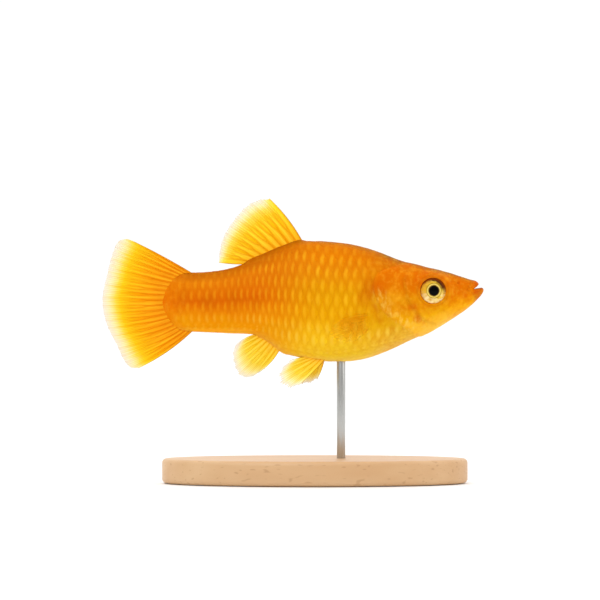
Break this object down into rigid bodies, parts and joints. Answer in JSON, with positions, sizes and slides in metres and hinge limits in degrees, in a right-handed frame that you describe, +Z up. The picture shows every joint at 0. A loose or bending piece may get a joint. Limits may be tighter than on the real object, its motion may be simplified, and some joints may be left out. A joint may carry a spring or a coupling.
{
  "type": "saffron molly",
  "caption": "Life-size still model of an orange-gold female livebearing fish with fan-shaped fins, held level on a steel rod over an oval wooden base.",
  "frame": {"origin": "centre of the whole model's box, on the floor that the stand's base rests on", "axes": "+X from the tail towards the snout, +Z up, +Y towards the fish's left side"},
  "size_m": [0.0699, 0.027, 0.0521],
  "materials": {
    "skin": "wet-looking satin gloss over scales",
    "gold_skin": "pearly gloss",
    "fin": "thin and translucent towards the edge",
    "eye": "high gloss",
    "beech": "oiled satin",
    "steel": "fine brushed"
  },
  "bodies": {
    "root": {"head": "skin", "upper_jaw": "skin", "lower_jaw": "skin", "trunk": "skin", "tail": "skin", "gill_cover_left": "gold_skin", "gill_cover_right": "gold_skin", "dorsal_fin": "fin", "caudal_fin": "fin", "anal_fin": "fin", "pelvic_fin_left": "fin", "pelvic_fin_right": "fin", "pectoral_fin_left": "fin", "pectoral_fin_right": "fin", "eye_left": "eye", "eye_right": "eye", "stand_base": "beech", "stand_rod": "steel"}
  },
  "joints": []
}
